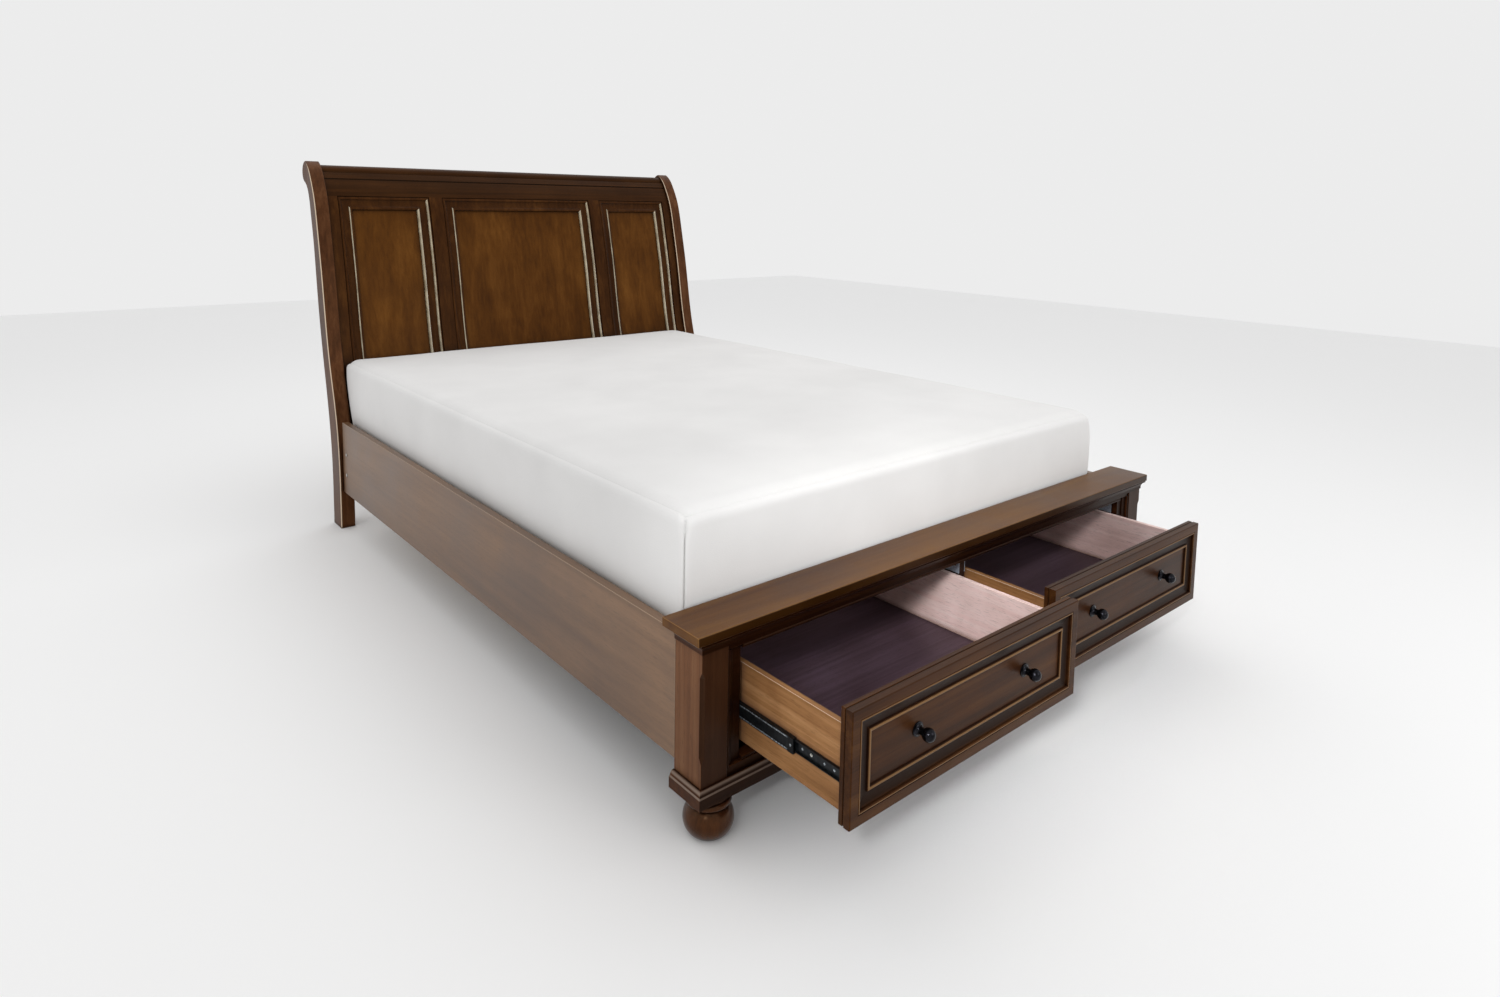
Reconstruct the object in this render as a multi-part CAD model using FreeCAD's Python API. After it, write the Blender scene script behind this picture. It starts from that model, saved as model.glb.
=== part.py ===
import FreeCAD
import Part
import math
import os

from FreeCAD import Vector

os.makedirs("parts", exist_ok=True)

# A queen-size sleigh bed with two drawers in its footboard. Millimetres, +Z up, +X to the right and
# +Y from the footboard to the headboard. While it is built, y = 0 is the front face of the footboard
# posts; the finished bed is then moved so that its overall box is centred on the origin.

# Overall sizes
bed_width = 1689.0              # across the footboard cap
headboard_height = 1341.0
bed_length = 2132.0             # from the footboard posts' front to the headboard legs' front
board_ease = 1.5                # rounding of a sanded arris

# Footboard
cap_thickness = 19.0
cap_depth = 116.0
cap_ease = 2.5
cap_overhang_side = 18.5        # beyond the posts
cap_overhang_front = 12.0
footboard_height = 421.0        # top of the cap
foot_post_width = 63.0
foot_post_depth = 85.0
foot_height = 83.0
foot_radius = 50.0
foot_inset = 43.0               # foot's axis, in from the post's outer face
foot_setback = 30.0             # foot's axis, back from the post's front face
base_height = 33.0              # base moulding
base_thickness = 12.0
cove_height = 22.0              # moulding under the cap
cove_projection = 11.0
opening_rise = 57.5             # the drawer opening, above the posts' lower ends
opening_drop = 42.0             # the drawer opening, below the cap
opening_frame_width = 40.5      # moulded frame between a post and the opening
opening_bead = 8.0              # slim bead above and below the opening
rail_thickness = 24.0           # footboard rails
rail_setback = 4.0              # rails' front, back from the posts' front
chamfer_width = 7.0             # stopped chamfer down each post's outer front corner
chamfer_rise = 61.0             # its lower end, above the base moulding
chamfer_drop = 70.0             # its upper end, below the cap
chamfer_stop = 14.0             # length of the lamb's tongue at each end

# Drawers
drawer_reveal = 2.5             # gap round a closed drawer front
centre_gap = 4.0                # between the two drawer fronts
front_clearance = 1.0           # round a closed front, behind the rails
front_setback = 2.0             # closed drawer front, back from the posts' front
front_backing = 10.0            # the front's backing board
front_frame_depth = 18.0        # the moulded frame in front of it
front_frame_width = 57.0
front_lip_width = 20.0          # the frame's flat lip
front_lip_bead = 6.0            # the bead inside the lip
front_inner_bead = 8.0          # the bead against the field
front_field_depth = 8.0         # the field raised on the backing board, inside the frame
drawer_wall = 12.0
drawer_side_rise = 18.5         # drawer sides, above the bottom of the opening
drawer_side_drop = 40.0         # drawer sides, below the top of the opening
drawer_bottom_height = 14.0     # underside of the bottom board, above the sides' lower edge
drawer_bottom_thickness = 6.0
left_open = 279.0               # how far each drawer stands open
right_open = 221.0
knob_spacing = 344.0
knob_lift = 0.13                # above the front's middle, as a share of the room over the knob
knob_reach = 38.5               # from the field to the knob's tip
knob_ball_radius = 13.0
knob_base_radius = 14.0
knob_waist_radius = 7.0
knob_screw_radius = 2.0
knob_screw_grip = 12.0          # how far its screw goes into the knob

# Drawer slides: three nested steel channels
slide_length = 560.0
slide_thickness = 12.7
slide_height = 36.0
slide_step = 6.5                # each member is this much lower than the one round it
slide_metal = 1.4
slide_drop = 12.5               # slide's middle, below the middle of the drawer sides
slide_setback = 3.0             # cabinet member's front end, behind the closed drawer front
middle_share = 0.6              # how far the middle member goes for each millimetre of drawer
slide_screw_shares = (0.13, 0.49, 0.84)     # screws' places along a member

# Drawer case behind the footboard
case_wall = 20.0
case_drop = 18.5                # case's lower edge, below the opening
room_behind_drawer = 80.0
case_back_thickness = 16.0
case_bottom_thickness = 6.0
bracket_leg = 60.0              # steel angles in the opening's top corners
bracket_drop = 42.0             # their lower edge, below the top of the opening
bracket_rise = 22.0             # their upper edge, above it
bracket_metal = 2.0
bracket_rounding = 10.0
screw_radius = 1.5              # screws that hold the slides and brackets
screw_grip = 7.0                # how far such a screw goes into the wood
screw_clearance = 0.1

# Side rails and mattress support
side_rail_thickness = 22.0
side_rail_rise = 54.0           # its lower edge, above the footboard posts' lower ends
side_rail_drop = 27.0           # its top, below the top of the footboard cap
ledger_width = 30.0
ledger_height = 40.0
slat_thickness = 18.0
slat_width = 75.0
slat_count = 12
slat_drop = 30.0                # slats' top, below the side rails' top
slat_end_gap = 1.0              # between a slat's end and the side rail
first_slat_gap = 31.0           # behind the footboard cap
beam_width = 40.0
beam_height = 60.0
support_leg_count = 3
ledger_end_gap = 80.0           # from a ledger's end to the post
hook_thickness = 3.0
hook_length = 60.0              # along the side rail
hook_drop = 15.5                # its top, below the slats' underside
hook_bolt_margin = 8.5          # its lower edge, below the lower bolt
hook_reach = 18.0               # into the post
hook_clearance = 0.5
BOLT_SHARES = (0.28, 0.57)      # bolts' places, as shares of the side rail's height
bolt_setback = 42.0             # from the headboard leg
bolt_radius = 3.0
bolt_head_radius = 5.5
bolt_head_depth = 2.0
bolt_clearance = 0.1

# Headboard
headboard_overhang = 12.5       # headboard legs stand this far outside the side rails
head_post_width = 50.0
head_post_ease = 3.0            # rounding of the posts' sawn arrises
scroll_radius = 41.0
frame_inset = 12.0              # rails and stiles, back from the posts' front edge
frame_thickness = 24.0
panel_thickness = 8.0
crest_drop = 13.0               # crest roll, inside the posts' scroll
crest_joint = 65.0              # joint of crest and top rail, below the headboard's top
crest_groove = 5.0
top_rail_height = 65.0
bottom_rail_drop = 7.0          # its lower edge, below the slats' top
bottom_rail_height = 90.0
outer_stile_width = 38.0
inner_stile_width = 54.0
centre_panel_width = 684.0
panel_moulding_width = 52.0
panel_bead_width = 9.0
panel_flat_height = 6.0         # of the moulding between its beads, off the panel
panel_inner_bead_height = 10.0
panel_bead_setback = 1.0        # outer bead, behind the frame's face

# Mattress
mattress_left_gap = 17.0        # to the side rail; it lies a little to the left
mattress_right_gap = 67.0
mattress_height = 253.0
mattress_gap = 0.5              # above the slats
mattress_front_gap = 9.0        # behind the footboard cap
mattress_back_gap = 12.0        # in front of the headboard's rails, at its top and bottom
mattress_rounding = 35.0

# Places worked out from those sizes
post_outer = bed_width / 2 - cap_overhang_side
post_inner = post_outer - foot_post_width
opening_half = post_inner - opening_frame_width
cap_underside = footboard_height - cap_thickness
cap_back = cap_depth - cap_overhang_front
opening_bottom = foot_height + opening_rise
opening_top = cap_underside - opening_drop
rail_front = rail_setback
rail_back = rail_setback + rail_thickness
side_rail_bottom = foot_height + side_rail_rise
side_rail_top = footboard_height - side_rail_drop
slat_top = side_rail_top - slat_drop
ledger_top = slat_top - slat_thickness
rail_end = bed_length
rail_inner = post_outer - side_rail_thickness
first_slat = cap_back + first_slat_gap
bottom_rail_bottom = slat_top - bottom_rail_drop
head_outer = post_outer + headboard_overhang
head_inner = head_outer - head_post_width
front_thickness = front_backing + front_frame_depth
front_back_face = front_setback + front_thickness
field_face = front_back_face - front_backing - front_field_depth
front_low = opening_bottom + drawer_reveal
front_high = opening_top - drawer_reveal
front_middle = (front_low + front_high) / 2
front_outer = opening_half - drawer_reveal
front_inner = centre_gap / 2
drawer_outer = opening_half - slide_thickness
drawer_inner = case_wall / 2 + slide_thickness
drawer_side_bottom = opening_bottom + drawer_side_rise
drawer_side_top = opening_top - drawer_side_drop
drawer_depth = slide_length + 10.0
knob_room = (front_high - front_low) / 2 - front_frame_width - knob_base_radius
knob_height = front_middle + knob_lift * knob_room
middle_height = slide_height - slide_step
inner_height = middle_height - slide_step
slide_centre = (drawer_side_bottom + drawer_side_top) / 2 - slide_drop
slide_front = front_back_face + slide_setback
slide_screws = [share * slide_length for share in slide_screw_shares]   # from a member's front end
case_front = rail_back
case_end = front_back_face + drawer_depth + room_behind_drawer
case_bottom = opening_bottom - case_drop
case_back_end = case_end + case_back_thickness
chamfer_low = foot_height + base_height + chamfer_rise
chamfer_high = cap_underside - chamfer_drop
bracket_low = opening_top - bracket_drop
bracket_high = opening_top + bracket_rise
bolt_heights = [side_rail_bottom + share * (side_rail_top - side_rail_bottom) for share in BOLT_SHARES]
hook_low = bolt_heights[0] - hook_bolt_margin
hook_high = ledger_top - hook_drop
mattress_left = -rail_inner + mattress_left_gap
mattress_right = rail_inner - mattress_right_gap

# The sleigh line: the front edge of the headboard posts, as (setback from the leg's front, share of
# the height). It stands upright on the floor, leans back, and rolls over at the top.
sleigh_line = [
    (0.0, 0.0), (1.0, 0.0916), (9.0, 0.2028), (39.0, 0.322), (92.0, 0.4417), (130.0, 0.5609),
    (164.0, 0.6947), (200.0, 0.8109), (240.0, 0.9115), (268.0, 0.9502), (300.0, 0.9829),
]
sleigh_top = 333.0              # setback of the scroll's centre line
back_line = [
    (315.0, 0.9246), (292.0, 0.8929), (276.0, 0.8481), (258.0, 0.7958), (234.0, 0.6947), (205.0, 0.5679),
    (163.0, 0.4336), (118.0, 0.2998), (94.0, 0.1882), (88.0, 0.0816), (88.0, 0.0),
]

knob_tip = field_face - left_open - knob_reach
scroll_back = bed_length + sleigh_top + scroll_radius
centre_shift = Vector(0, -(knob_tip + scroll_back) / 2, 0)


def save(node, *solids):
    """Move the node's solids to the bed's own frame and write them as one file."""
    shape = solids[0] if len(solids) == 1 else Part.makeCompound(list(solids))
    shape.translate(centre_shift)
    shape.exportStep("parts/" + node + ".step")


def box(x0, x1, y0, y1, z0, z1):
    return Part.makeBox(x1 - x0, y1 - y0, z1 - z0, Vector(x0, y0, z0))


def board(x0, x1, y0, y1, z0, z1, ease=board_ease):
    """A planed board with all its arrises eased."""
    plain = box(x0, x1, y0, y1, z0, z1)
    return plain.makeFillet(ease, plain.Edges)


def mirrored(shape):
    return shape.mirror(Vector(0, 0, 0), Vector(1, 0, 0))


def outline_face(start, steps, place):
    """A face from a start point and steps. A step is an end point, or a mid point and an end point of
    an arc. place turns each pair of numbers into a point in space."""
    edges = []
    here = start
    for step in steps:
        if isinstance(step[0], tuple):
            through, there = step
            edges.append(Part.Arc(place(*here), place(*through), place(*there)).toShape())
        else:
            there = step
            edges.append(Part.makeLine(place(*here), place(*there)))
        here = there
    edges.append(Part.makeLine(place(*here), place(*start)))
    return Part.Face(Part.Wire(edges))


def turned(profile_start, profile_steps, axis_point, axis):
    """A turning: the profile holds (radius, distance along the axis) pairs from end to end."""
    side = Vector(1, 0, 0)

    def place(radius, along):
        return axis_point + side * radius + axis * along

    face = outline_face(profile_start, profile_steps, place)
    return face.revolve(axis_point, axis, 360)


def mitre_prism(side, x0, x1, z0, z1, width):
    """The space that one strip of a mitred frame may fill, seen from the front."""
    corners = {
        "bottom": [(x0, z0), (x1, z0), (x1 - width, z0 + width), (x0 + width, z0 + width)],
        "top": [(x0, z1), (x1, z1), (x1 - width, z1 - width), (x0 + width, z1 - width)],
        "left": [(x0, z0), (x0, z1), (x0 + width, z1 - width), (x0 + width, z0 + width)],
        "right": [(x1, z0), (x1, z1), (x1 - width, z1 - width), (x1 - width, z0 + width)],
    }[side]
    depth = 4 * bed_length
    points = [Vector(x, -depth / 2, z) for x, z in corners]
    return Part.Face(Part.makePolygon(points + points[:1])).extrude(Vector(0, depth, 0))


def moulded_strip(side, x0, x1, z0, z1, back, start, steps):
    """A length of flat moulding along one side. Its profile holds (distance in from the frame's outer
    edge, height in front of its back) pairs."""
    places = {
        "bottom": (lambda d, h: Vector(x0, back - h, z0 + d), Vector(x1 - x0, 0, 0)),
        "top": (lambda d, h: Vector(x0, back - h, z1 - d), Vector(x1 - x0, 0, 0)),
        "left": (lambda d, h: Vector(x0 + d, back - h, z0), Vector(0, 0, z1 - z0)),
        "right": (lambda d, h: Vector(x1 - d, back - h, z0), Vector(0, 0, z1 - z0)),
    }
    place, run = places[side]
    return outline_face(start, steps, place).extrude(run)


SIDES = ("top", "bottom", "left", "right")


def moulded_frame(x0, x1, z0, z1, back, width, start, steps):
    """Four strips of flat moulding, mitred at the corners."""
    strips = []
    for side in SIDES:
        strip = moulded_strip(side, x0, x1, z0, z1, back, start, steps)
        strips.append(strip.common(mitre_prism(side, x0, x1, z0, z1, width)).Solids[0])
    return strips


def screw(head_radius, head_depth, shank_radius, shank_length, under_head, direction):
    """A screw with its head's underside at the given point and its shank along the direction."""
    head = Part.makeCylinder(head_radius, head_depth, under_head - direction * head_depth, direction)
    shank = Part.makeCylinder(shank_radius, shank_length, under_head, direction)
    return head.fuse(shank)


def pilot(radius, length, start, direction):
    """The hole that a screw goes into."""
    return Part.makeCylinder(radius, length, start, direction)


# ---------------------------------------------------------------- headboard

def sleigh_points(line):
    return [Vector(0, bed_length + setback, share * headboard_height) for setback, share in line]


scroll_centre = Vector(0, bed_length + sleigh_top, headboard_height - scroll_radius)
SCROLL_END = math.radians(-70)  # where the scroll runs into the post's back
scroll_end = scroll_centre + Vector(0, math.cos(SCROLL_END), math.sin(SCROLL_END)) * scroll_radius


def smooth_curve(points):
    curve = Part.BSplineCurve()
    curve.interpolate(Points=points)
    return curve


front_curve = smooth_curve(sleigh_points(sleigh_line) + [scroll_centre + Vector(0, 0, scroll_radius)])
back_curve = smooth_curve([scroll_end] + sleigh_points(back_line))


def sleigh_parameter(z):
    """Where the sleigh line passes a height."""
    low = front_curve.FirstParameter
    high = front_curve.LastParameter
    for _ in range(50):
        middle = (low + high) / 2
        if front_curve.value(middle).z < z:
            low = middle
        else:
            high = middle
    return low


def sleigh_y(z):
    return front_curve.value(sleigh_parameter(z)).y


def sleigh_slab(front, back, x0, x1, z0, z1):
    """A board that follows the sleigh line: front and back are its faces' distances behind it."""
    u0 = sleigh_parameter(z0)
    u1 = sleigh_parameter(z1)
    front_edge = front_curve.toShape(u0, u1)
    front_edge.translate(Vector(x0, front, 0))
    back_edge = front_curve.toShape(u0, u1)
    back_edge.translate(Vector(x0, back, 0))
    ends = []
    for u in (u0, u1):
        at = front_curve.value(u)
        ends.append(Part.makeLine(at + Vector(x0, front, 0), at + Vector(x0, back, 0)))
    wire = Part.Wire(Part.sortEdges([front_edge, ends[1], back_edge, ends[0]])[0])
    return Part.Face(wire).extrude(Vector(x1 - x0, 0, 0))


def headboard_post():
    """The right post: square at the floor, sawn to the sleigh line, with a scroll at its top."""
    top = scroll_centre + Vector(0, 0, scroll_radius)
    rear = scroll_centre + Vector(0, scroll_radius, 0)
    floor_back = back_curve.value(back_curve.LastParameter)
    floor_front = front_curve.value(front_curve.FirstParameter)
    outline = Part.Wire([
        front_curve.toShape(),
        Part.Arc(top, rear, scroll_end).toShape(),
        back_curve.toShape(),
        Part.makeLine(floor_back, floor_front),
    ])
    post = Part.Face(outline).extrude(Vector(head_post_width, 0, 0))
    post.translate(Vector(head_inner, 0, 0))
    return post.makeFillet(head_post_ease, [e for e in post.Edges if follows_outline(e)])


def follows_outline(edge):
    """True for a long edge that runs up the post, and not across it or along the floor."""
    bounds = edge.BoundBox
    return bounds.XLength < 1.0 and bounds.ZLength > 1.0


def hook_plate(post_face, into_post):
    """The right rail's steel plate at one end, with its tongue in the post. into_post is +1 or -1."""
    ends = sorted((post_face - into_post * hook_length, post_face + into_post * hook_reach))
    return box(rail_inner - hook_thickness, rail_inner, ends[0], ends[1], hook_low, hook_high)


def hook_slot(post_face, into_post):
    """The mortise in a post that takes a hook plate's tongue."""
    low = hook_low - hook_clearance
    high = hook_high + hook_clearance
    ends = sorted((post_face - into_post * hook_reach, post_face + into_post * (hook_reach + hook_clearance)))
    return box(rail_inner - hook_thickness - hook_clearance, rail_inner + hook_clearance,
               ends[0], ends[1], low, high)


right_head_post = headboard_post().cut(hook_slot(bed_length, 1))
save("headboard_left_post", mirrored(right_head_post))
save("headboard_right_post", right_head_post)

crest_low = headboard_height - crest_joint
frame_back = frame_inset + frame_thickness
crest_radius = scroll_radius - crest_drop


def crest():
    """The rounded crest between the posts, flat where it sits on the top rail, with half of the groove
    at that joint."""
    roll = Part.makeCylinder(crest_radius, 2 * head_inner,
                             scroll_centre + Vector(-head_inner, 0, 0), Vector(1, 0, 0))
    neck = sleigh_slab(frame_inset, frame_back + crest_radius / 2, -head_inner, head_inner,
                       crest_low, scroll_centre.z)
    below = box(-head_inner, head_inner, bed_length, bed_length + 2 * sleigh_top, 0, crest_low)
    return roll.fuse(neck).removeSplitter().cut(below).cut(crest_groove_cut())


def crest_groove_cut():
    """The shadow groove along the joint of crest and top rail."""
    front = sleigh_y(crest_low) + frame_inset
    return box(-head_inner, head_inner, front - 2 * crest_groove, front + crest_groove,
               crest_low - crest_groove / 2, crest_low + crest_groove / 2)


top_rail_low = crest_low - top_rail_height
bottom_rail_top = bottom_rail_bottom + bottom_rail_height
top_rail = sleigh_slab(frame_inset, frame_back, -head_inner, head_inner, top_rail_low, crest_low)
save("headboard_crest", crest())
save("headboard_top_rail", top_rail.cut(crest_groove_cut()))
save("headboard_bottom_rail", sleigh_slab(frame_inset, frame_back, -head_inner, head_inner,
                                          bottom_rail_bottom, bottom_rail_top))

centre_panel_half = centre_panel_width / 2
side_panel_inner = centre_panel_half + inner_stile_width
side_panel_outer = head_inner - outer_stile_width


def stile(x0, x1):
    return sleigh_slab(frame_inset, frame_back, x0, x1, bottom_rail_top, top_rail_low)


save("headboard_left_outer_stile", mirrored(stile(side_panel_outer, head_inner)))
save("headboard_left_inner_stile", mirrored(stile(centre_panel_half, side_panel_inner)))
save("headboard_right_inner_stile", stile(centre_panel_half, side_panel_inner))
save("headboard_right_outer_stile", stile(side_panel_outer, head_inner))


def panel(x0, x1):
    return sleigh_slab(frame_back - panel_thickness, frame_back, x0, x1, bottom_rail_top, top_rail_low)


def curved_moulding(x0, x1):
    """Four mitred strips round a panel: a flat with a bead along its outer and its inner edge."""
    z0 = bottom_rail_top
    z1 = top_rail_low
    back = frame_back - panel_thickness
    flat_front = back - panel_flat_height
    inner_bead_front = back - panel_inner_bead_height
    outer_bead_front = frame_inset + panel_bead_setback

    def ring_slab(front, inset, width, side):
        if side == "left":
            return sleigh_slab(front, back, x0 + inset, x0 + inset + width, z0, z1)
        if side == "right":
            return sleigh_slab(front, back, x1 - inset - width, x1 - inset, z0, z1)
        if side == "top":
            return sleigh_slab(front, back, x0, x1, z1 - inset - width, z1 - inset)
        return sleigh_slab(front, back, x0, x1, z0 + inset, z0 + inset + width)

    strips = []
    for side in SIDES:
        strip = ring_slab(flat_front, 0.0, panel_moulding_width, side)
        strip = strip.fuse(ring_slab(outer_bead_front, 0.0, panel_bead_width, side))
        inner = panel_moulding_width - panel_bead_width
        strip = strip.fuse(ring_slab(inner_bead_front, inner, panel_bead_width, side))
        prism = mitre_prism(side, x0, x1, z0, z1, panel_moulding_width)
        strips.append(strip.common(prism).removeSplitter().Solids[0])
    return strips


PANELS = {
    "left": (-side_panel_outer, -side_panel_inner),
    "centre": (-centre_panel_half, centre_panel_half),
    "right": (side_panel_inner, side_panel_outer),
}
for name, (low_x, high_x) in PANELS.items():
    save("headboard_" + name + "_panel", panel(low_x, high_x))
    save("headboard_" + name + "_panel_moulding", *curved_moulding(low_x, high_x))

# ---------------------------------------------------------------- side rails and mattress support


def side_rail():
    """The right side rail, drilled for the bolts of its rear hook plate."""
    rail = board(rail_inner, post_outer, foot_post_depth, rail_end, side_rail_bottom, side_rail_top)
    for z in bolt_heights:
        start = Vector(rail_inner, rail_end - bolt_setback, z)
        rail = rail.cut(pilot(bolt_radius + bolt_clearance, side_rail_thickness, start, Vector(1, 0, 0)))
    return rail


right_bolts = []
rear_hook = hook_plate(bed_length, 1)
for z in bolt_heights:
    under_head = Vector(post_outer, rail_end - bolt_setback, z)
    shank = side_rail_thickness + hook_thickness
    right_bolts.append(screw(bolt_head_radius, bolt_head_depth, bolt_radius, shank, under_head,
                             Vector(-1, 0, 0)))
    hole_start = Vector(rail_inner - hook_thickness, rail_end - bolt_setback, z)
    rear_hook = rear_hook.cut(pilot(bolt_radius + bolt_clearance, hook_thickness, hole_start,
                                    Vector(1, 0, 0)))
right_hooks = [rear_hook, hook_plate(foot_post_depth, -1)]
save("left_side_rail", mirrored(side_rail()))
save("right_side_rail", side_rail())
save("rail_hook_plates", *right_hooks, *[mirrored(h) for h in right_hooks])

right_ledger = board(rail_inner - ledger_width, rail_inner, foot_post_depth + ledger_end_gap,
                     rail_end - ledger_end_gap, ledger_top - ledger_height, ledger_top)
save("slat_ledgers", right_ledger, mirrored(right_ledger))

last_slat = rail_end - ledger_end_gap - slat_width
slat_pitch = (last_slat - first_slat) / (slat_count - 1)
slat_half = rail_inner - slat_end_gap
slats = []
for i in range(slat_count):
    y = first_slat + i * slat_pitch
    slats.append(board(-slat_half, slat_half, y, y + slat_width, ledger_top, slat_top))
save("bed_slats", *slats)

beam_low = ledger_top - beam_height
save("centre_beam", board(-beam_width / 2, beam_width / 2, case_back_end, last_slat + slat_width,
                          beam_low, ledger_top))
leg_pitch = (last_slat - case_back_end - beam_width) / (support_leg_count - 1)
legs = []
for i in range(support_leg_count):
    y = case_back_end + i * leg_pitch
    legs.append(board(-beam_width / 2, beam_width / 2, y, y + beam_width, 0, beam_low))
save("support_legs", *legs)

# ---------------------------------------------------------------- footboard


def foot_post():
    """The right footboard post, with a stopped chamfer down its outer front corner."""
    post = board(post_inner, post_outer, 0, foot_post_depth, foot_height, cap_underside)
    outer = 2 * chamfer_width

    def waste(size, z):
        """The wood that the chamfer takes off the corner at a height."""
        corners = [(-size, 0), (0, size), (outer, size), (outer, -outer), (-size, -outer)]
        points = [Vector(post_outer + x, y, z) for x, y in corners]
        return Part.makePolygon(points + points[:1])

    feather = 0.05
    lower = Part.makeLoft([waste(feather, chamfer_low - chamfer_stop), waste(chamfer_width, chamfer_low)],
                          True)
    middle = Part.makeLoft([waste(chamfer_width, chamfer_low), waste(chamfer_width, chamfer_high)], True)
    upper = Part.makeLoft([waste(chamfer_width, chamfer_high),
                           waste(feather, chamfer_high + chamfer_stop)], True)
    return post.cut(lower).cut(middle).cut(upper).cut(hook_slot(foot_post_depth, -1))


save("footboard_right_post", foot_post())
save("footboard_left_post", mirrored(foot_post()))

cap_half = bed_width / 2
save("footboard_cap", board(-cap_half, cap_half, -cap_overhang_front, cap_depth - cap_overhang_front,
                            cap_underside, footboard_height, cap_ease))


def wrapped_moulding(low, start, steps, reach):
    """A moulding across the footboard's front that returns along both sides, mitred at the corners.
    The profile holds (projection, height above low) pairs."""
    def front_place(out, up):
        return Vector(-post_outer - reach, -out, low + up)

    def side_place(out, up):
        return Vector(post_outer + out, -reach, low + up)

    front = outline_face(start, steps, front_place).extrude(Vector(2 * (post_outer + reach), 0, 0))
    side = outline_face(start, steps, side_place).extrude(Vector(0, foot_post_depth + reach, 0))
    tall = 2 * footboard_height
    wedge = Part.Face(Part.makePolygon([
        Vector(post_outer, 0, 0), Vector(post_outer + reach, -reach, 0),
        Vector(post_outer + reach, -2 * reach, 0), Vector(0, -2 * reach, 0),
        Vector(0, 0, 0), Vector(post_outer, 0, 0)])).extrude(Vector(0, 0, tall))
    front = front.common(wedge.fuse(mirrored(wedge)).removeSplitter())
    side = side.cut(wedge)
    return [front.Solids[0], side.Solids[0], mirrored(side.Solids[0])]


# A cove under the cap: a fillet at the post, a hollow, and a fillet under the cap.
save("footboard_cap_moulding", *wrapped_moulding(
    cap_underside - cove_height, (0, 0),
    [(2.0, 0), (2.0, 3.0), ((cove_projection * 0.42, cove_height * 0.62),
                            (cove_projection, cove_height - 3.0)),
     (cove_projection, cove_height), (0, cove_height)], cove_projection))

# A base moulding: a square board with an ogee-like rounded top.
save("footboard_base_moulding", *wrapped_moulding(
    foot_height, (0, 0),
    [(base_thickness, 0), (base_thickness, base_height - 11.0),
     (base_thickness - 2.5, base_height - 8.5),
     ((base_thickness - 4.0, base_height - 4.0), (3.0, base_height)),
     (0, base_height)], base_thickness))

save("footboard_top_rail", board(-post_inner, post_inner, rail_front, rail_back,
                                 opening_top + opening_bead, cap_underside))
save("footboard_bottom_rail", board(-post_inner, post_inner, rail_front, rail_back,
                                    foot_height, opening_bottom - opening_bead))

# The moulded frame round the drawer opening. Its sides are wide; its top and bottom are slim beads.
SIDE_FRAME = [(0, 23.0), ((4.0, 26.5), (8.0, 23.0)), (8.0, 20.0), (19.0, 17.0), (19.0, 14.0),
              (opening_frame_width, 14.0), (opening_frame_width, 0)]
frame_side_low = opening_bottom - opening_bead
frame_side_high = opening_top + opening_bead
frame_strips = [
    moulded_strip("left", -post_inner, 0, frame_side_low, frame_side_high, rail_back, (0, 0), SIDE_FRAME),
    moulded_strip("right", 0, post_inner, frame_side_low, frame_side_high, rail_back, (0, 0), SIDE_FRAME),
]
BEAD = [(opening_bead, 0), (opening_bead, 20.0), ((opening_bead / 2, 23.9), (0, 20.0))]
frame_strips.append(moulded_strip("top", -opening_half, opening_half, 0, frame_side_high,
                                  rail_back, (0, 0), BEAD))
frame_strips.append(moulded_strip("bottom", -opening_half, opening_half, frame_side_low, 0,
                                  rail_back, (0, 0), BEAD))
save("drawer_opening_frame", *frame_strips)


def bun_foot():
    """A turned bun foot: a flattened ball, a quirk, and a ring under the base moulding."""
    axis_point = Vector(post_outer - foot_inset, foot_setback, 0)
    ball_top = 0.74 * foot_height
    ring_top = 0.93 * foot_height
    ring_low = ball_top + 2.5
    profile = [(0.60 * foot_radius, 0),
               ((foot_radius, 0.5 * ball_top), (0.74 * foot_radius, ball_top)),
               (0.72 * foot_radius, ring_low),
               ((0.90 * foot_radius, (ring_low + ring_top) / 2), (0.78 * foot_radius, ring_top)),
               (0.78 * foot_radius, foot_height),
               (0, foot_height)]
    return turned((0, 0), profile, axis_point, Vector(0, 0, 1))


save("right_bun_foot", bun_foot())
save("left_bun_foot", mirrored(bun_foot()))

# ---------------------------------------------------------------- drawer case and slides


def case_wall_board(x0, x1):
    """An upright of the drawer case, taller at the front, where it stands under the cap."""
    low_part = box(x0, x1, case_front, case_end, case_bottom, ledger_top)
    high_part = box(x0, x1, case_front, cap_back, case_bottom, cap_underside)
    return low_part.fuse(high_part).removeSplitter()


def channel(x_web, into, height, reach, front):
    """One slide member: a web and two lips. into is +1 or -1, the way the channel opens along X."""
    low = slide_centre - height / 2
    high = slide_centre + height / 2
    web = sorted((x_web, x_web + into * slide_metal))
    lip = sorted((x_web, x_web + into * reach))
    member = box(web[0], web[1], front, front + slide_length, low, high)
    member = member.fuse(box(lip[0], lip[1], front, front + slide_length, low, low + slide_metal))
    member = member.fuse(box(lip[0], lip[1], front, front + slide_length, high - slide_metal, high))
    return member.removeSplitter()


def slide(wall_x, to_drawer, drawer_open):
    """The three members of a slide on a wall at wall_x, with its drawer drawn out by drawer_open."""
    outer = channel(wall_x, to_drawer, slide_height, 9.0, slide_front)
    middle = channel(wall_x + to_drawer * 3.0, to_drawer, middle_height, 8.0,
                     slide_front - middle_share * drawer_open)
    inner = channel(wall_x + to_drawer * slide_thickness, -to_drawer, inner_height, 6.0,
                    slide_front - drawer_open)
    return outer, middle, inner


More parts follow.
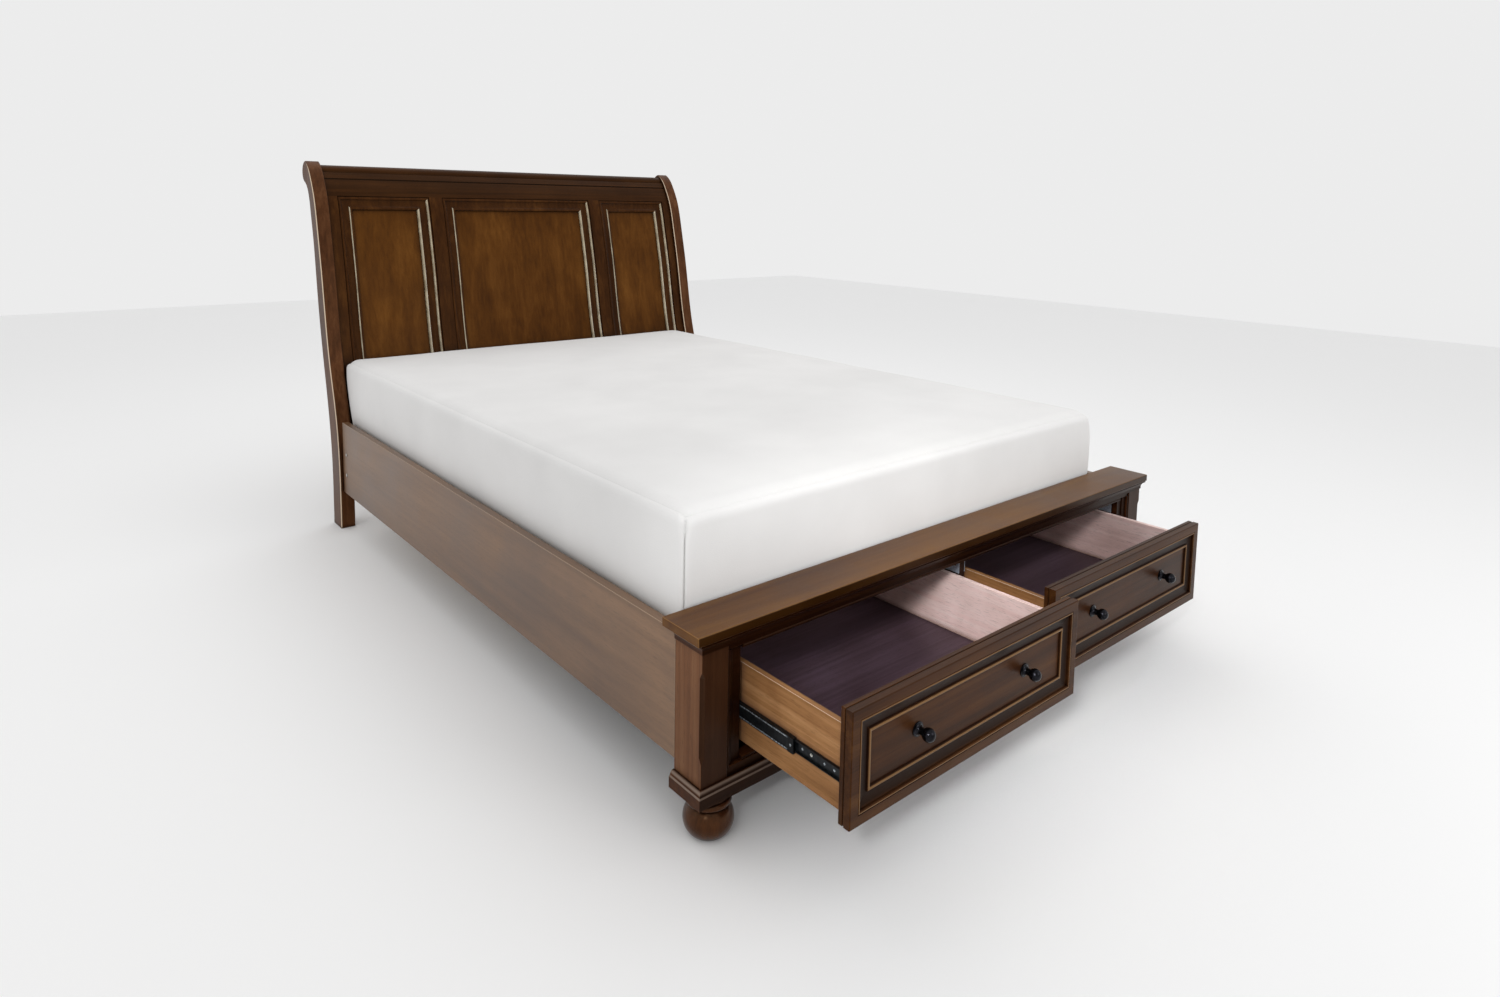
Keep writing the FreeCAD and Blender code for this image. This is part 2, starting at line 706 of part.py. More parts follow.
def wall_screws(wall_x, into_wall):
    """The screws through a cabinet member and their holes in the member and the wall."""
    screws = []
    holes = []
    head_face = wall_x - into_wall * slide_metal
    for along in slide_screws:
        at = Vector(head_face, slide_front + along, slide_centre)
        direction = Vector(into_wall, 0, 0)
        screws.append(screw(2 * screw_radius, slide_metal / 2, screw_radius, slide_metal + screw_grip, at,
                            direction))
        holes.append(pilot(screw_radius + screw_clearance, slide_metal + screw_grip + screw_clearance, at,
                           direction))
    return screws, holes


WALLS = {
    "left": (-opening_half, 1, -case_wall / 2, -1),
    "right": (case_wall / 2, 1, opening_half, -1),
}
case_left = case_wall_board(-opening_half - case_wall, -opening_half)
case_right = mirrored(case_left)
# The room that the closed drawer fronts need behind the rails.
front_room = box(-opening_half, opening_half, 0, front_back_face + front_clearance,
                 front_low - front_clearance, front_high + front_clearance)
divider = case_wall_board(-case_wall / 2, case_wall / 2).cut(front_room)
outer_members = []
frame_screws = []
slides = {}
for hand, drawer_open in (("left", left_open), ("right", right_open)):
    x_low, into_low, x_high, into_high = WALLS[hand]
    slides[hand] = [slide(x_low, into_low, drawer_open), slide(x_high, into_high, drawer_open)]
    for (outer, _, _), wall_x, into in zip(slides[hand], (x_low, x_high), (into_low, into_high)):
        screws, holes = wall_screws(wall_x, -into)
        for hole in holes:
            outer = outer.cut(hole)
            case_left = case_left.cut(hole)
            case_right = case_right.cut(hole)
            divider = divider.cut(hole)
        outer_members.append(outer)
        frame_screws.extend(screws)


def bracket(wall_x, away):
    """A steel angle in a top corner of the opening: one leg on the wall, one on the top rail's back.
    It is notched where the closed drawer front comes."""
    legs_x = sorted((wall_x, wall_x + away * bracket_metal))
    wall_leg = box(legs_x[0], legs_x[1], rail_back, rail_back + bracket_leg, bracket_low, bracket_high)
    low_corner = [e for e in wall_leg.Edges if abs(e.BoundBox.YMin - rail_back - bracket_leg) < 0.01
                  and abs(e.BoundBox.XLength - bracket_metal) < 0.01]
    wall_leg = wall_leg.makeFillet(bracket_rounding, low_corner)
    legs_x = sorted((wall_x, wall_x + away * bracket_leg * 0.6))
    rail_leg = box(legs_x[0], legs_x[1], rail_back, rail_back + bracket_metal,
                   opening_top - bracket_metal, bracket_high)
    return wall_leg.fuse(rail_leg).removeSplitter().cut(front_room)


brackets = []
for wall_x, away in ((-opening_half, 1), (-case_wall / 2, -1), (case_wall / 2, 1), (opening_half, -1)):
    plate = bracket(wall_x, away)
    for share in (0.25, 0.75):
        at = Vector(wall_x + away * bracket_metal, rail_back + share * bracket_leg,
                    opening_top - bracket_rise)
        direction = Vector(-away, 0, 0)
        frame_screws.append(screw(2.7 * screw_radius, screw_radius, screw_radius,
                                  bracket_metal + screw_grip, at, direction))
        hole = pilot(screw_radius + screw_clearance, bracket_metal + screw_grip + screw_clearance, at,
                     direction)
        plate = plate.cut(hole)
        case_left = case_left.cut(hole)
        case_right = case_right.cut(hole)
        divider = divider.cut(hole)
    brackets.append(plate)

save("drawer_case_sides", case_left, case_right)
save("drawer_case_divider", divider)
case_half = opening_half + case_wall
save("drawer_case_back", board(-case_half, case_half, case_end, case_back_end, case_bottom, ledger_top))
save("drawer_case_bottom", box(-case_half, case_half, case_front, case_back_end,
                               case_bottom - case_bottom_thickness, case_bottom))
save("slide_cabinet_members", *outer_members)
save("corner_brackets", *brackets)
save("frame_screws_and_bolts", *frame_screws, *right_bolts, *[mirrored(b) for b in right_bolts])

# ---------------------------------------------------------------- drawers

# The frame's profile as (distance in, height) pairs: a flat lip with a quirk and bead, a wide cove
# down to the field, and a small bead against it.
lip_bead_end = front_lip_width + front_lip_bead
cove_end = front_frame_width - front_inner_bead
cove_middle = (lip_bead_end + cove_end) / 2
FRONT_FRAME_START = (1.5, 0.0)
FRONT_FRAME = [
    (1.5, 1.5), (0.0, 3.0), (0.0, front_frame_depth - 2.0),
    ((0.6, front_frame_depth - 0.6), (2.0, front_frame_depth)),
    (front_lip_width, front_frame_depth), (front_lip_width, front_frame_depth - 2.5),
    ((front_lip_width + 0.5 * front_lip_bead, front_frame_depth + 0.3),
     (lip_bead_end, front_frame_depth - 3.0)),
    (lip_bead_end, front_frame_depth - 6.0),
    ((cove_middle, front_frame_depth - 9.0), (cove_end, front_field_depth + 0.5)),
    (cove_end, front_field_depth + 2.0),
    ((cove_end + 0.5 * front_inner_bead, front_field_depth + 5.0),
     (front_frame_width, front_field_depth + 1.0)),
    (front_frame_width, 0.0),
]


def knob_profile():
    """A knob as (radius, distance from the field) pairs: rosette, waist and ball."""
    ball_centre = knob_reach - knob_ball_radius
    ball_neck = ball_centre - math.sqrt(knob_ball_radius ** 2 - knob_waist_radius ** 2)
    return [(knob_base_radius, 0), (knob_base_radius, 2.0),
            ((0.7 * knob_base_radius, 3.6), (knob_waist_radius, 9.0)), (knob_waist_radius, ball_neck),
            ((knob_ball_radius, ball_centre), (0, knob_reach))]


def drawer(hand, low_x, high_x, front_low_x, front_high_x, drawer_open):
    """All the pieces of one drawer, drawn out by drawer_open."""
    back = front_back_face - drawer_open
    front = back - front_backing
    z0 = front_low
    z1 = front_high
    backing = board(front_low_x, front_high_x, front, back, z0, z1)
    inset = front_frame_width
    field = box(front_low_x + inset, front_high_x - inset, front - front_field_depth, front + 2.0,
                z0 + inset, z1 - inset)
    backing = backing.fuse(field).removeSplitter()
    field_y = front - front_field_depth
    strips = moulded_frame(front_low_x, front_high_x, z0, z1, front, inset, FRONT_FRAME_START,
                           FRONT_FRAME)
    box_front = back
    box_back = back + drawer_depth
    walls = {
        "left_side": [low_x, low_x + drawer_wall, box_front, box_back],
        "right_side": [high_x - drawer_wall, high_x, box_front, box_back],
        "back": [low_x + drawer_wall, high_x - drawer_wall, box_back - drawer_wall, box_back],
    }
    walls = {name: board(*ends, drawer_side_bottom, drawer_side_top, 1.0)
             for name, ends in walls.items()}
    bottom_low = drawer_side_bottom + drawer_bottom_height
    bottom = box(low_x + drawer_wall, high_x - drawer_wall, box_front, box_back - drawer_wall,
                 bottom_low, bottom_low + drawer_bottom_thickness)
    middle_x = (front_low_x + front_high_x) / 2
    knobs = []
    screws = []
    for x in (middle_x - knob_spacing / 2, middle_x + knob_spacing / 2):
        knob = turned((0, 0), knob_profile(), Vector(x, field_y, knob_height), Vector(0, -1, 0))
        behind = Vector(x, back, knob_height)
        through = front_backing + front_field_depth + knob_screw_grip
        hole = pilot(knob_screw_radius + screw_clearance, through + screw_clearance, behind,
                     Vector(0, -1, 0))
        knobs.append(knob.cut(hole))
        backing = backing.cut(hole)
        screws.append(screw(2.2 * knob_screw_radius, knob_screw_radius, knob_screw_radius, through, behind,
                            Vector(0, -1, 0)))
    members = []
    for (_, _, inner), side, into in zip(slides[hand], ("left_side", "right_side"), (1, -1)):
        face = low_x if side == "left_side" else high_x
        for along in slide_screws:
            at = Vector(face - into * slide_metal, slide_front - drawer_open + along, slide_centre)
            direction = Vector(into, 0, 0)
            screws.append(screw(2 * screw_radius, slide_metal / 2, screw_radius,
                                slide_metal + screw_grip, at, direction))
            hole = pilot(screw_radius + screw_clearance, slide_metal + screw_grip + screw_clearance, at,
                         direction)
            inner = inner.cut(hole)
            walls[side] = walls[side].cut(hole)
        members.append(inner)
    prefix = hand + "_drawer_"
    save(prefix + "front_panel", backing)
    save(prefix + "front_frame", *strips)
    save(prefix + "left_side", walls["left_side"])
    save(prefix + "right_side", walls["right_side"])
    save(prefix + "back", walls["back"])
    save(prefix + "bottom", bottom)
    save(prefix + "knobs", *knobs)
    save(prefix + "screws", *screws)
    save(prefix + "slide_members", *members)
    save(hand + "_slide_middle_members", *[middle for _, middle, _ in slides[hand]])


drawer("left", -drawer_outer, -drawer_inner, -front_outer, -front_inner, left_open)
drawer("right", drawer_inner, drawer_outer, front_inner, front_outer, right_open)

# ---------------------------------------------------------------- mattress


def mattress():
    """A plain closed block. Its head end leans with the headboard."""
    low = slat_top + mattress_gap
    high = low + mattress_height
    front = cap_back + mattress_front_gap
    reach = frame_inset - mattress_back_gap
    points = [
        Vector(mattress_left, front, low), Vector(mattress_left, sleigh_y(low) + reach, low),
        Vector(mattress_left, sleigh_y(high) + reach, high), Vector(mattress_left, front, high),
    ]
    block = Part.Face(Part.makePolygon(points + points[:1])).extrude(
        Vector(mattress_right - mattress_left, 0, 0))
    upright = [e for e in block.Edges
               if abs(e.Vertexes[0].Point.z - e.Vertexes[-1].Point.z) > mattress_height / 2]
    return block.makeFillet(mattress_rounding, upright)


save("mattress", mattress())
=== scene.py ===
import math
import random

import bmesh
import bpy
from mathutils import Matrix, Vector, noise


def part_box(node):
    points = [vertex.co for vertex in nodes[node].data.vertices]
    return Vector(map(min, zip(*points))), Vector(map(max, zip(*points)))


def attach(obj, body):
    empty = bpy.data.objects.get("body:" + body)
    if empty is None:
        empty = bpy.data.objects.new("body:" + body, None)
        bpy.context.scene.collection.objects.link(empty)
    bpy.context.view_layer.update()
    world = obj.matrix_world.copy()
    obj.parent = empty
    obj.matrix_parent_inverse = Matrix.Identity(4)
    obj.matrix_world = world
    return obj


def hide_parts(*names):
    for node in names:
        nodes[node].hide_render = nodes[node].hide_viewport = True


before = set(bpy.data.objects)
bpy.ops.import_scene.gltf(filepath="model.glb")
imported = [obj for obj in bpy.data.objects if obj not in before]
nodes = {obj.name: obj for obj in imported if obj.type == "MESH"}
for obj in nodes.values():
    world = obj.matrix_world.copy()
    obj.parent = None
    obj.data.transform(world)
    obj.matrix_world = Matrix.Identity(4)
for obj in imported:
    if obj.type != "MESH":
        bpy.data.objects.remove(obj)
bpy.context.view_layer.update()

# ---------------------------------------------------------------- camera
# A wide lens stands near the left front corner of the footboard, a little above the headboard's
# middle, looking towards the far post.

camera_data = bpy.data.cameras.new("camera")
camera = bpy.data.objects.new("camera", camera_data)
bpy.context.scene.collection.objects.link(camera)
bpy.context.scene.camera = camera
camera_data.lens = 21.87
camera_data.sensor_width = 36.0
camera_data.shift_x = 0.0108
camera_data.shift_y = -0.1347
turn = Matrix.Rotation(math.radians(-39.79), 4, "Z")
tilt = Matrix.Rotation(math.radians(90 - 5.79), 4, "X")
roll = Matrix.Rotation(math.radians(0.95), 4, "Z")
camera.matrix_world = Matrix.Translation((-1.813, -2.358, 1.205)) @ turn @ tilt @ roll

# ---------------------------------------------------------------- studio
# A pale floor, a white surround and four soft lights: a weak upright one on the bed's left, a wide
# one above, a large one in front, and a small one that reaches into the open drawers.


def linear(colour):
    """An sRGB hex colour as a linear one with alpha."""
    parts = [int(colour[i:i + 2], 16) / 255 for i in (1, 3, 5)]
    return [p / 12.92 if p <= 0.04045 else ((p + 0.055) / 1.055) ** 2.4 for p in parts] + [1.0]


def add_node(material, kind, inputs=None, stops=None, **settings):
    """Adds a node with its settings. inputs holds values, or other nodes' outputs to link, by socket."""
    made = material.node_tree.nodes.new("ShaderNode" + kind)
    for name, value in settings.items():
        setattr(made, name, value)
    for socket, value in (inputs or {}).items():
        if isinstance(value, bpy.types.NodeSocket):
            material.node_tree.links.new(value, made.inputs[socket])
        else:
            made.inputs[socket].default_value = value
    for i, (position, colour) in enumerate(stops or []):
        ramp = made.color_ramp.elements
        stop = ramp[i] if i < len(ramp) else ramp.new(position)
        stop.position = position
        stop.color = linear(colour)
    return made


def new_material(name):
    material = bpy.data.materials.new(name)
    material.use_nodes = True
    material.node_tree.nodes.clear()
    return material


def soft_light(name, size, power, at, towards, spread=180):
    """An area light aimed at a point: size in metres, power in watts, spread in degrees."""
    data = bpy.data.lights.new(name, "AREA")
    data.shape = "RECTANGLE"
    data.size, data.size_y = size
    data.energy = power
    data.spread = math.radians(spread)
    light = bpy.data.objects.new(name, data)
    light.location = at
    light.rotation_euler = (Vector(towards) - Vector(at)).to_track_quat("-Z", "Y").to_euler()
    bpy.context.scene.collection.objects.link(light)


soft_light("left_strip", (0.4, 2.4), 3, (-3.6, -0.2, 1.6), (0, 0.9, 0.8))
soft_light("ceiling_panel", (3.6, 3.6), 27, (0.5, 1.3, 3.4), (0.4, 0.9, 0))
soft_light("front_panel", (1.8, 1.6), 30, (0.9, -4.3, 2.1), (0.2, -0.4, 0.4))
soft_light("drawer_fill", (0.5, 0.5), 1.5, (-2.4, -2.4, 1.9), (-0.1, -1.15, 0.28), spread=24)
bpy.context.scene.view_settings.view_transform = "Standard"

world = bpy.data.worlds.new("studio_air")
world.use_nodes = True
world.node_tree.nodes["Background"].inputs["Color"].default_value = linear("#FFFFFF")
world.node_tree.nodes["Background"].inputs["Strength"].default_value = 0.84
bpy.context.scene.world = world

floor_half = 9.0
floor_mesh = bpy.data.meshes.new("studio_floor")
floor_mesh.from_pydata([(-floor_half, -floor_half, 0), (floor_half, -floor_half, 0),
                        (floor_half, floor_half, 0), (-floor_half, floor_half, 0)], [], [(0, 1, 2, 3)])
floor = bpy.data.objects.new("studio_floor", floor_mesh)
bpy.context.scene.collection.objects.link(floor)
floor_paint = new_material("matt_white_floor_paint")
paint = add_node(floor_paint, "BsdfPrincipled", {"Base Color": linear("#F4F4F4"), "Roughness": 0.75})
add_node(floor_paint, "OutputMaterial", {"Surface": paint.outputs[0]})
floor_mesh.materials.append(floor_paint)

# ---------------------------------------------------------------- headboard frame
# Two posts sawn from solid wood to the sleigh line, with a scrolled top, and between them a rounded
# crest, two rails and four stiles. Cherry stained brown, with dark glazing and painted shade in the
# corners, and finished with satin lacquer. Each post has a light-coloured painted highlight along its
# left front arris.

MM = 0.001
AXES = {"x": 0, "y": 1, "z": 2}
GRAIN_SEED = random.Random(7)

# Depths behind a drawer frame's front, in millimetres: (starts, full, starts to end, gone). The
# hollow's band takes dark glazing and painted shade, and the beads' bands a lighter rub with a painted
# highlight.
OUTER_BEAD_RUB_AND_HIGHLIGHT = (-1.0, -0.5, 0.1, 0.25)
INNER_BEAD_RUB_AND_HIGHLIGHT = (4.3, 4.8, 5.6, 6.4)
HOLLOW_GLAZE_AND_SHADE = (6.2, 7.6, 100, 200)


def stretched(along, length, width):
    """Texture scale for marks of this length and width, in millimetres, that run along an axis."""
    scale = [1000 / width] * 3
    scale[AXES[along]] = 1000 / length
    return scale


def stained_wood(name, along, dark, middle, light, glaze_and_shade="#100604", gloss=0.3, streaks=0.5,
                 rubbed="#8A6A50", arrises=None, pore_depth=0.35, reach=0.016, lip=None,
                 toned_front=False, reflection=0.14, tint="#E0B088"):
    """Planed wood, stained and lacquered. Grain streaks about 10 mm wide run along the board over
    broader figure, fine pores show as dark dashes, and the stain is cloudy. Within reach metres of a
    corner, ambient occlusion darkens the colour: dark glazing and painted shade together. The pores
    are really 0.3 mm wide and are drawn four times as wide, so that they show. arrises says which
    eased arrises take the edge colour: "straight" is all those of a straight board, "sawn" the left
    front one of a sawn post. On most pieces the edge colour is a painted highlight; on the footboard's
    posts it paints the arrises and chamfers darker. lip is where the front of a moulded drawer frame
    stands along Y: dark glazing and painted shade fill its hollow, and its two beads take the edge
    colour, a rub and a painted highlight together. gloss is the lacquer's roughness where it is
    shiniest. reflection and tint are its specular level and colour. The option for the front darkens
    the faces that look forward with painted shade."""
    material = new_material(name)
    offset = [GRAIN_SEED.uniform(-5, 5) for _ in range(3)]
    coordinates = add_node(material, "TexCoord").outputs
    place = coordinates["Object"]
    layers = {}
    for layer, length, width, detail in (("streak", 500, 11, 5), ("figure", 850, 55, 3),
                                         ("pore", 22, 1.2, 2), ("cloud", 260, 260, 3)):
        spot = add_node(material, "Mapping", {"Vector": place, "Location": offset,
                                              "Scale": stretched(along, length, width)})
        marks = add_node(material, "TexNoise", {"Vector": spot.outputs[0], "Scale": 1.0,
                                                "Detail": detail, "Roughness": 0.55,
                                                "Distortion": 0.4})
        layers[layer] = marks.outputs["Fac"]
    grain = add_node(material, "Mix", {0: streaks, 2: layers["figure"], 3: layers["streak"]},
                     data_type="FLOAT").outputs[0]
    tinted = add_node(material, "ValToRGB", {0: grain},
                      stops=[(0.30, dark), (0.50, middle), (0.72, light)]).outputs[0]
    clouds = add_node(material, "ValToRGB", {0: layers["cloud"]},
                      stops=[(0.30, "#BDB2AC"), (0.68, "#FFFFFF")]).outputs[0]
    clouded = add_node(material, "Mix", {0: 0.8, 6: tinted, 7: clouds}, data_type="RGBA",
                       blend_type="MULTIPLY").outputs[2]
    pores = add_node(material, "ValToRGB", {0: layers["pore"]},
                     stops=[(0.33, "#000000"), (0.42, "#FFFFFF")]).outputs[0]
    stained = add_node(material, "Mix", {0: pore_depth, 6: clouded, 7: pores}, data_type="RGBA",
                       blend_type="MULTIPLY").outputs[2]
    facing = add_node(material, "VectorMath", {0: coordinates["Normal"]}, operation="ABSOLUTE")
    axes = add_node(material, "SeparateXYZ", {0: facing.outputs[0]}).outputs

    def band(value, limits, most, under, over):
        """Mixes over into under, by up to most, while the value lies within the limits. It comes in
        between the first two limits and fades between the last two."""
        start, full, end, gone = limits
        rise = add_node(material, "MapRange", {0: value, 1: start, 2: full, 3: 0.0, 4: most})
        fall = add_node(material, "MapRange", {0: value, 1: end, 2: gone, 3: 1.0, 4: 0.0})
        both = add_node(material, "Math", {0: rise.outputs[0], 1: fall.outputs[0]},
                        operation="MULTIPLY")
        return add_node(material, "Mix", {0: both.outputs[0], 6: under, 7: linear(over)},
                        data_type="RGBA").outputs[2]

    # Mostly a painted highlight: the edge colour goes on eased arrises, where the normal lies between
    # the axes, or on the left front arris alone. On the footboard's posts it paints them darker.
    if arrises == "straight":
        widest = add_node(material, "Math", {0: axes[0], 1: axes[1]}, operation="MAXIMUM")
        widest = add_node(material, "Math", {0: widest.outputs[0], 1: axes[2]},
                          operation="MAXIMUM").outputs[0]
        stained = band(widest, (0.1, 0.2, 0.80, 0.95), 0.7, stained, rubbed)
    elif arrises == "sawn":
        diagonal = math.sqrt(0.5)
        towards = add_node(material, "VectorMath", {0: coordinates["Normal"],
                                                    1: (-diagonal, -diagonal, 0)},
                           operation="DOT_PRODUCT").outputs["Value"]
        stained = band(towards, (0.76, 0.88, 1.1, 1.2), 0.85, stained, rubbed)
    # Dark glazing and painted shade fill the hollow; the beads take the edge colour, a rub and a painted
    # highlight together.
    if lip is not None:
        depth = add_node(material, "SeparateXYZ", {0: place}).outputs[1]
        filled = stained
        for depths, most, colour in ((HOLLOW_GLAZE_AND_SHADE, 0.9, glaze_and_shade), (OUTER_BEAD_RUB_AND_HIGHLIGHT, 0.75, rubbed),
                                     (INNER_BEAD_RUB_AND_HIGHLIGHT, 0.8, rubbed)):
            filled = band(depth, [lip + behind * MM for behind in depths], most, filled, colour)
        moulded = add_node(material, "MapRange", {0: axes[1], 1: 0.2, 2: 0.4, 3: 0.0, 4: 1.0})
        stained = add_node(material, "Mix", {0: moulded.outputs[0], 6: stained, 7: filled},
                           data_type="RGBA").outputs[2]
    # Painted shade: faces that look forward are darkened.
    if toned_front:
        forward = add_node(material, "SeparateXYZ", {0: coordinates["Normal"]}).outputs[1]
        front = add_node(material, "MapRange", {0: forward, 1: -0.5, 2: -0.9, 3: 0.0, 4: 0.85})
        stained = add_node(material, "Mix", {0: front.outputs[0], 6: stained,
                                             7: linear("#54423A")},
                           data_type="RGBA", blend_type="MULTIPLY").outputs[2]
    # Painted shade: ambient occlusion within reach darkens corners and recesses towards the glazing
    # colour.
    corner = add_node(material, "AmbientOcclusion", {"Distance": reach}, samples=4)
    corner_shade = add_node(material, "ValToRGB", {0: corner.outputs["AO"]},
                    stops=[(0.45, "#FFFFFF"), (0.90, "#000000")]).outputs[0]
    glazed_and_shaded = add_node(material, "Mix", {0: corner_shade, 6: stained, 7: linear(glaze_and_shade)},
                      data_type="RGBA").outputs[2]
    sheen = add_node(material, "MapRange", {0: layers["cloud"], 1: 0.3, 2: 0.7, 3: gloss,
                                            4: gloss + 0.12}).outputs[0]
    relief = add_node(material, "Bump", {"Height": pores, "Strength": 0.18, "Distance": 0.0003})
    surface = add_node(material, "BsdfPrincipled", {
        "Base Color": glazed_and_shaded, "Roughness": sheen, "Specular IOR Level": reflection,
        "Specular Tint": linear(tint), "Normal": relief.outputs[0]})
    add_node(material, "OutputMaterial", {"Surface": surface.outputs[0]})
    return material


def finish_with(material, *names):
    for name in names:
        mesh = nodes[name].data
        mesh.materials.clear()
        mesh.materials.append(material)


def cherry(name, along, tone="headboard", **looks):
    """One board's stain, from its darkest grain to its lightest. The panels and the cap are the most
    golden, and the headboard's crest and rails the darkest."""
    tones = {
        "headboard": ("#2A1506", "#3E220C", "#543314"),
        "head_rail": ("#221003", "#341C08", "#48290F"),
        "head_post": ("#3C2416", "#5A3822", "#704C32"),
        "panel": ("#42250B", "#583410", "#6C441A"),
        "post": ("#4E3020", "#6E4930", "#825E41"),
        "cap": ("#4C2A0A", "#603C12", "#744E1A"),
        "footboard": ("#2A130A", "#452511", "#5C371C"),
        "drawer": ("#24130A", "#3C220F", "#523418"),
        "side": ("#5C402B", "#6E4F34", "#805F42"),
    }
    return stained_wood("stained_cherry_" + name, along, *tones[tone], **looks)


for side in ("left", "right"):
    finish_with(cherry(side + "_post", "z", "head_post", arrises="sawn", rubbed="#E6D2B8"),
                "headboard_" + side + "_post")
    for place in ("outer", "inner"):
        node = "headboard_" + side + "_" + place + "_stile"
        finish_with(cherry(side + "_" + place + "_stile", "z", reach=0.05), node)
for piece in ("crest", "top_rail", "bottom_rail"):
    finish_with(cherry(piece, "x", "head_rail", reach=0.03), "headboard_" + piece)

# ---------------------------------------------------------------- headboard panels
# Three veneered panels, bent to the sleigh line and held in the frame by mitred mouldings: a bead on
# the outer edge, a hollow, and a second bead against the panel. Painted shade darkens each panel's
# edges. The left flanks of the upright beads, which face the light, are coloured cream as a painted
# highlight and polished.

for place in ("left", "centre", "right"):
    finish_with(cherry(place + "_panel", "z", "panel", reach=0.045, streaks=0.35, pore_depth=0.25),
                "headboard_" + place + "_panel")


def front_line(node):
    """The front face of a curved CAD board, as (height, y) pairs from bottom to top."""
    mesh = nodes[node].data
    front = set()
    for face in mesh.polygons:
        if face.normal.y < -0.5:
            for index in face.vertices:
                front.add((round(mesh.vertices[index].co.z, 5), round(mesh.vertices[index].co.y, 5)))
    return sorted(front)


def y_on_line(line, z):
    """The line's y at a height, carried on straight past its ends."""
    same_height = 0.0001
    for (z0, y0), (z1, y1) in zip(line, line[1:]):
        is_last = z1 > line[-1][0] - same_height
        if z1 - z0 > same_height and (z <= z1 or is_last):
            return y0 + (y1 - y0) * (z - z0) / (z1 - z0)


def slope_on_line(line, z):
    """How fast y grows with height, taken over 60 mm so that the moulding's faces turn evenly."""
    reach = 0.03
    return (y_on_line(line, z + reach) - y_on_line(line, z - reach)) / (2 * reach)


def new_piece(name, mesh_maker, sharp_angle=35.0):
    """An object from a bmesh, smooth but for its sharp edges."""
    for face in mesh_maker.faces:
        face.smooth = True
    for edge in mesh_maker.edges:
        edge.smooth = len(edge.link_faces) == 2 and edge.calc_face_angle(0) < math.radians(sharp_angle)
    bmesh.ops.recalc_face_normals(mesh_maker, faces=mesh_maker.faces)
    mesh = bpy.data.meshes.new(name)
    mesh_maker.to_mesh(mesh)
    mesh_maker.free()
    piece = bpy.data.objects.new(name, mesh)
    bpy.context.scene.collection.objects.link(piece)
    return piece


def arc_points(centre, radius, start, end, count):
    """Points along an arc, angles in degrees, as (inward, height) pairs."""
    points = []
    for i in range(count + 1):
        angle = math.radians(start + (end - start) * i / count)
        points.append((centre[0] + radius * math.cos(angle), centre[1] + radius * math.sin(angle)))
    return points


# The moulding's section in millimetres: (distance in from the opening's edge, height off the panel).
OUTER_BEAD = arc_points((6.5, 9.5), 6.5, 180, 10, 12)
INNER_BEAD = arc_points((45.0, 4.5), 6.5, 160, 0, 12)
HOLLOW = [(13.4, 8.6), (16, 7.0), (20, 5.8), (26, 5.2), (32, 5.4), (36, 6.0)]
MOULDING_SECTION = [(0, -1)] + OUTER_BEAD + HOLLOW + INNER_BEAD + [(52.2, 2.0), (52.6, -1)]


def curved_moulding(name, x0, x1, z0, z1, line):
    """A mitred moulding round a panel that follows the sleigh line. The left flanks of its upright
    beads, which face the light, take its second material, a painted highlight, but for the bead that
    stands against the left stile."""
    steps = 48
    maker = bmesh.new()
    rings = []
    for inward, height in MOULDING_SECTION:
        inset = inward * MM
        low, high = z0 + inset, z1 - inset
        left, right = x0 + inset, x1 - inset
        heights = [low + (high - low) * i / steps for i in range(steps + 1)]
        loop = [(left, z) for z in heights] + [(right, z) for z in reversed(heights)]
        ring = []
        for x, z in loop:
            lean = Vector((0, 1, -slope_on_line(line, z))).normalized()
            spot = Vector((x, y_on_line(line, z), z)) - lean * height * MM
            spot.z = z
            ring.append(maker.verts.new(spot))
        rings.append(ring)
    left_run = range(0, steps)
    right_run = range(steps + 1, 2 * steps + 1)
    for k, (ring, following) in enumerate(zip(rings, rings[1:] + rings[:1])):
        section_point = MOULDING_SECTION[k]
        for i in range(len(ring)):
            j = (i + 1) % len(ring)
            face = maker.faces.new((ring[i], ring[j], following[j], following[i]))
            # Faces that take the painted highlight: the left flanks of the upright beads.
            on_left_run = i in left_run and section_point in INNER_BEAD[1:4]
            on_right_run = i in right_run and section_point in OUTER_BEAD[7:] + INNER_BEAD[5:]
            face.material_index = int(on_left_run or on_right_run)
    return new_piece(name, maker)


def painted_highlight_bead(name):
    """Bead flanks coloured a light cream as a painted highlight, in patches about 45 mm long, and
    polished under gloss lacquer, so that they make a bright line."""
    material = new_material(name)
    place = add_node(material, "TexCoord").outputs["Object"]
    highlight_patches = add_node(material, "TexNoise", {"Vector": place, "Scale": 22.0, "Detail": 4.0})
    colour = add_node(material, "ValToRGB", {0: highlight_patches.outputs["Fac"]},
                      stops=[(0.35, "#85775C"), (0.65, "#B2A589")]).outputs[0]
    rough = add_node(material, "MapRange", {0: highlight_patches.outputs["Fac"], 1: 0.3, 2: 0.7, 3: 0.16,
                                            4: 0.28}).outputs[0]
    relief = add_node(material, "Bump", {"Height": highlight_patches.outputs["Fac"], "Strength": 0.1,
                                         "Distance": 0.0005})
    surface = add_node(material, "BsdfPrincipled", {
        "Base Color": colour, "Roughness": rough, "Specular IOR Level": 0.5,
        "Coat Weight": 1.0, "Coat Roughness": 0.14, "Normal": relief.outputs[0]})
    add_node(material, "OutputMaterial", {"Surface": surface.outputs[0]})
    return material


